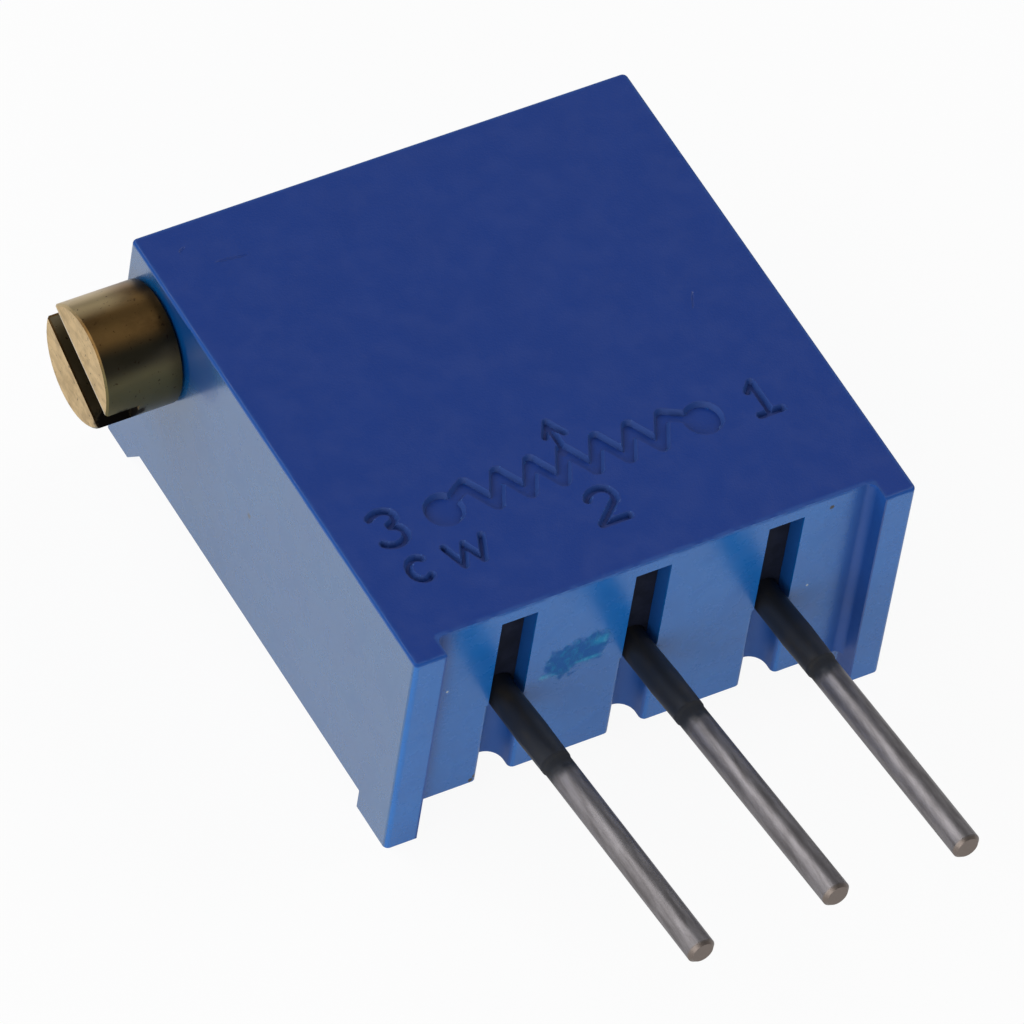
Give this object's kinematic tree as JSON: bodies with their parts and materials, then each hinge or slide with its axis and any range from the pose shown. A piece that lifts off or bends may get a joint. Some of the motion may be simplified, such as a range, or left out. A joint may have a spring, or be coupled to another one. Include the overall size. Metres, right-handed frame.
{
  "type": "trimmer potentiometer",
  "caption": "Sealed multi-turn trimmer potentiometer with a side slotted screw, in-line wire pins, standoff feet and a screw-driven wiper carriage inside.",
  "frame": {"origin": "on the middle pin's axis, on the seating plane of the two feet", "axes": "+X from the screw's end to the far end, +Y from the seating plane to the top, +Z out of the marked face; the part lies on its back"},
  "size_m": [0.0111, 0.0157, 0.0048],
  "materials": {
    "housing_plastic": "satin, fine moulded grain",
    "sealing_resin": "cured resin, near black, slightly wavy",
    "alumina": "matt white",
    "cermet_film": "matt black print",
    "conductor_film": "dull silver print",
    "tinned_wire": "dull tin, dark at the root",
    "solder": "bright solder",
    "seal_rubber": "matt",
    "clip_steel": "stamped sheet",
    "screw_brass": "turned, tarnished",
    "carriage_plastic": "natural moulding",
    "contact_alloy": "spring alloy"
  },
  "bodies": {
    "housing": {"housing": "housing_plastic", "back_seal": "sealing_resin", "ceramic_substrate": "alumina", "resistive_track": "cermet_film", "collector_track": "conductor_film", "termination_1": "conductor_film", "termination_3": "conductor_film", "terminal_pin_1": "tinned_wire", "terminal_pin_2": "tinned_wire", "terminal_pin_3": "tinned_wire", "pin_seal_1": "sealing_resin", "pin_seal_2": "sealing_resin", "pin_seal_3": "sealing_resin", "solder_joint_1": "solder", "solder_joint_2": "solder", "solder_joint_3": "solder", "o_ring": "seal_rubber", "retaining_clip": "clip_steel"},
    "adjust_screw": {"adjust_screw": "screw_brass"},
    "carriage": {"carriage": "carriage_plastic", "wiper_spring": "contact_alloy"}
  },
  "joints": [
    {"name": "screw_turn", "type": "hinge", "parent": "housing", "child": "adjust_screw", "pos_m": [-0.00477, 0.0089, 0.00103], "axis": [1, 0, 0], "range_deg": [-4500, 4500]},
    {"name": "carriage_slide", "type": "slide", "parent": "housing", "child": "carriage", "axis": [1, 0, 0], "range_m": [-0.0025, 0.0025]}
  ],
  "couplings": [
    {"joint": "screw_turn", "follows": "carriage_slide", "rad_per_m": -31416}
  ]
}
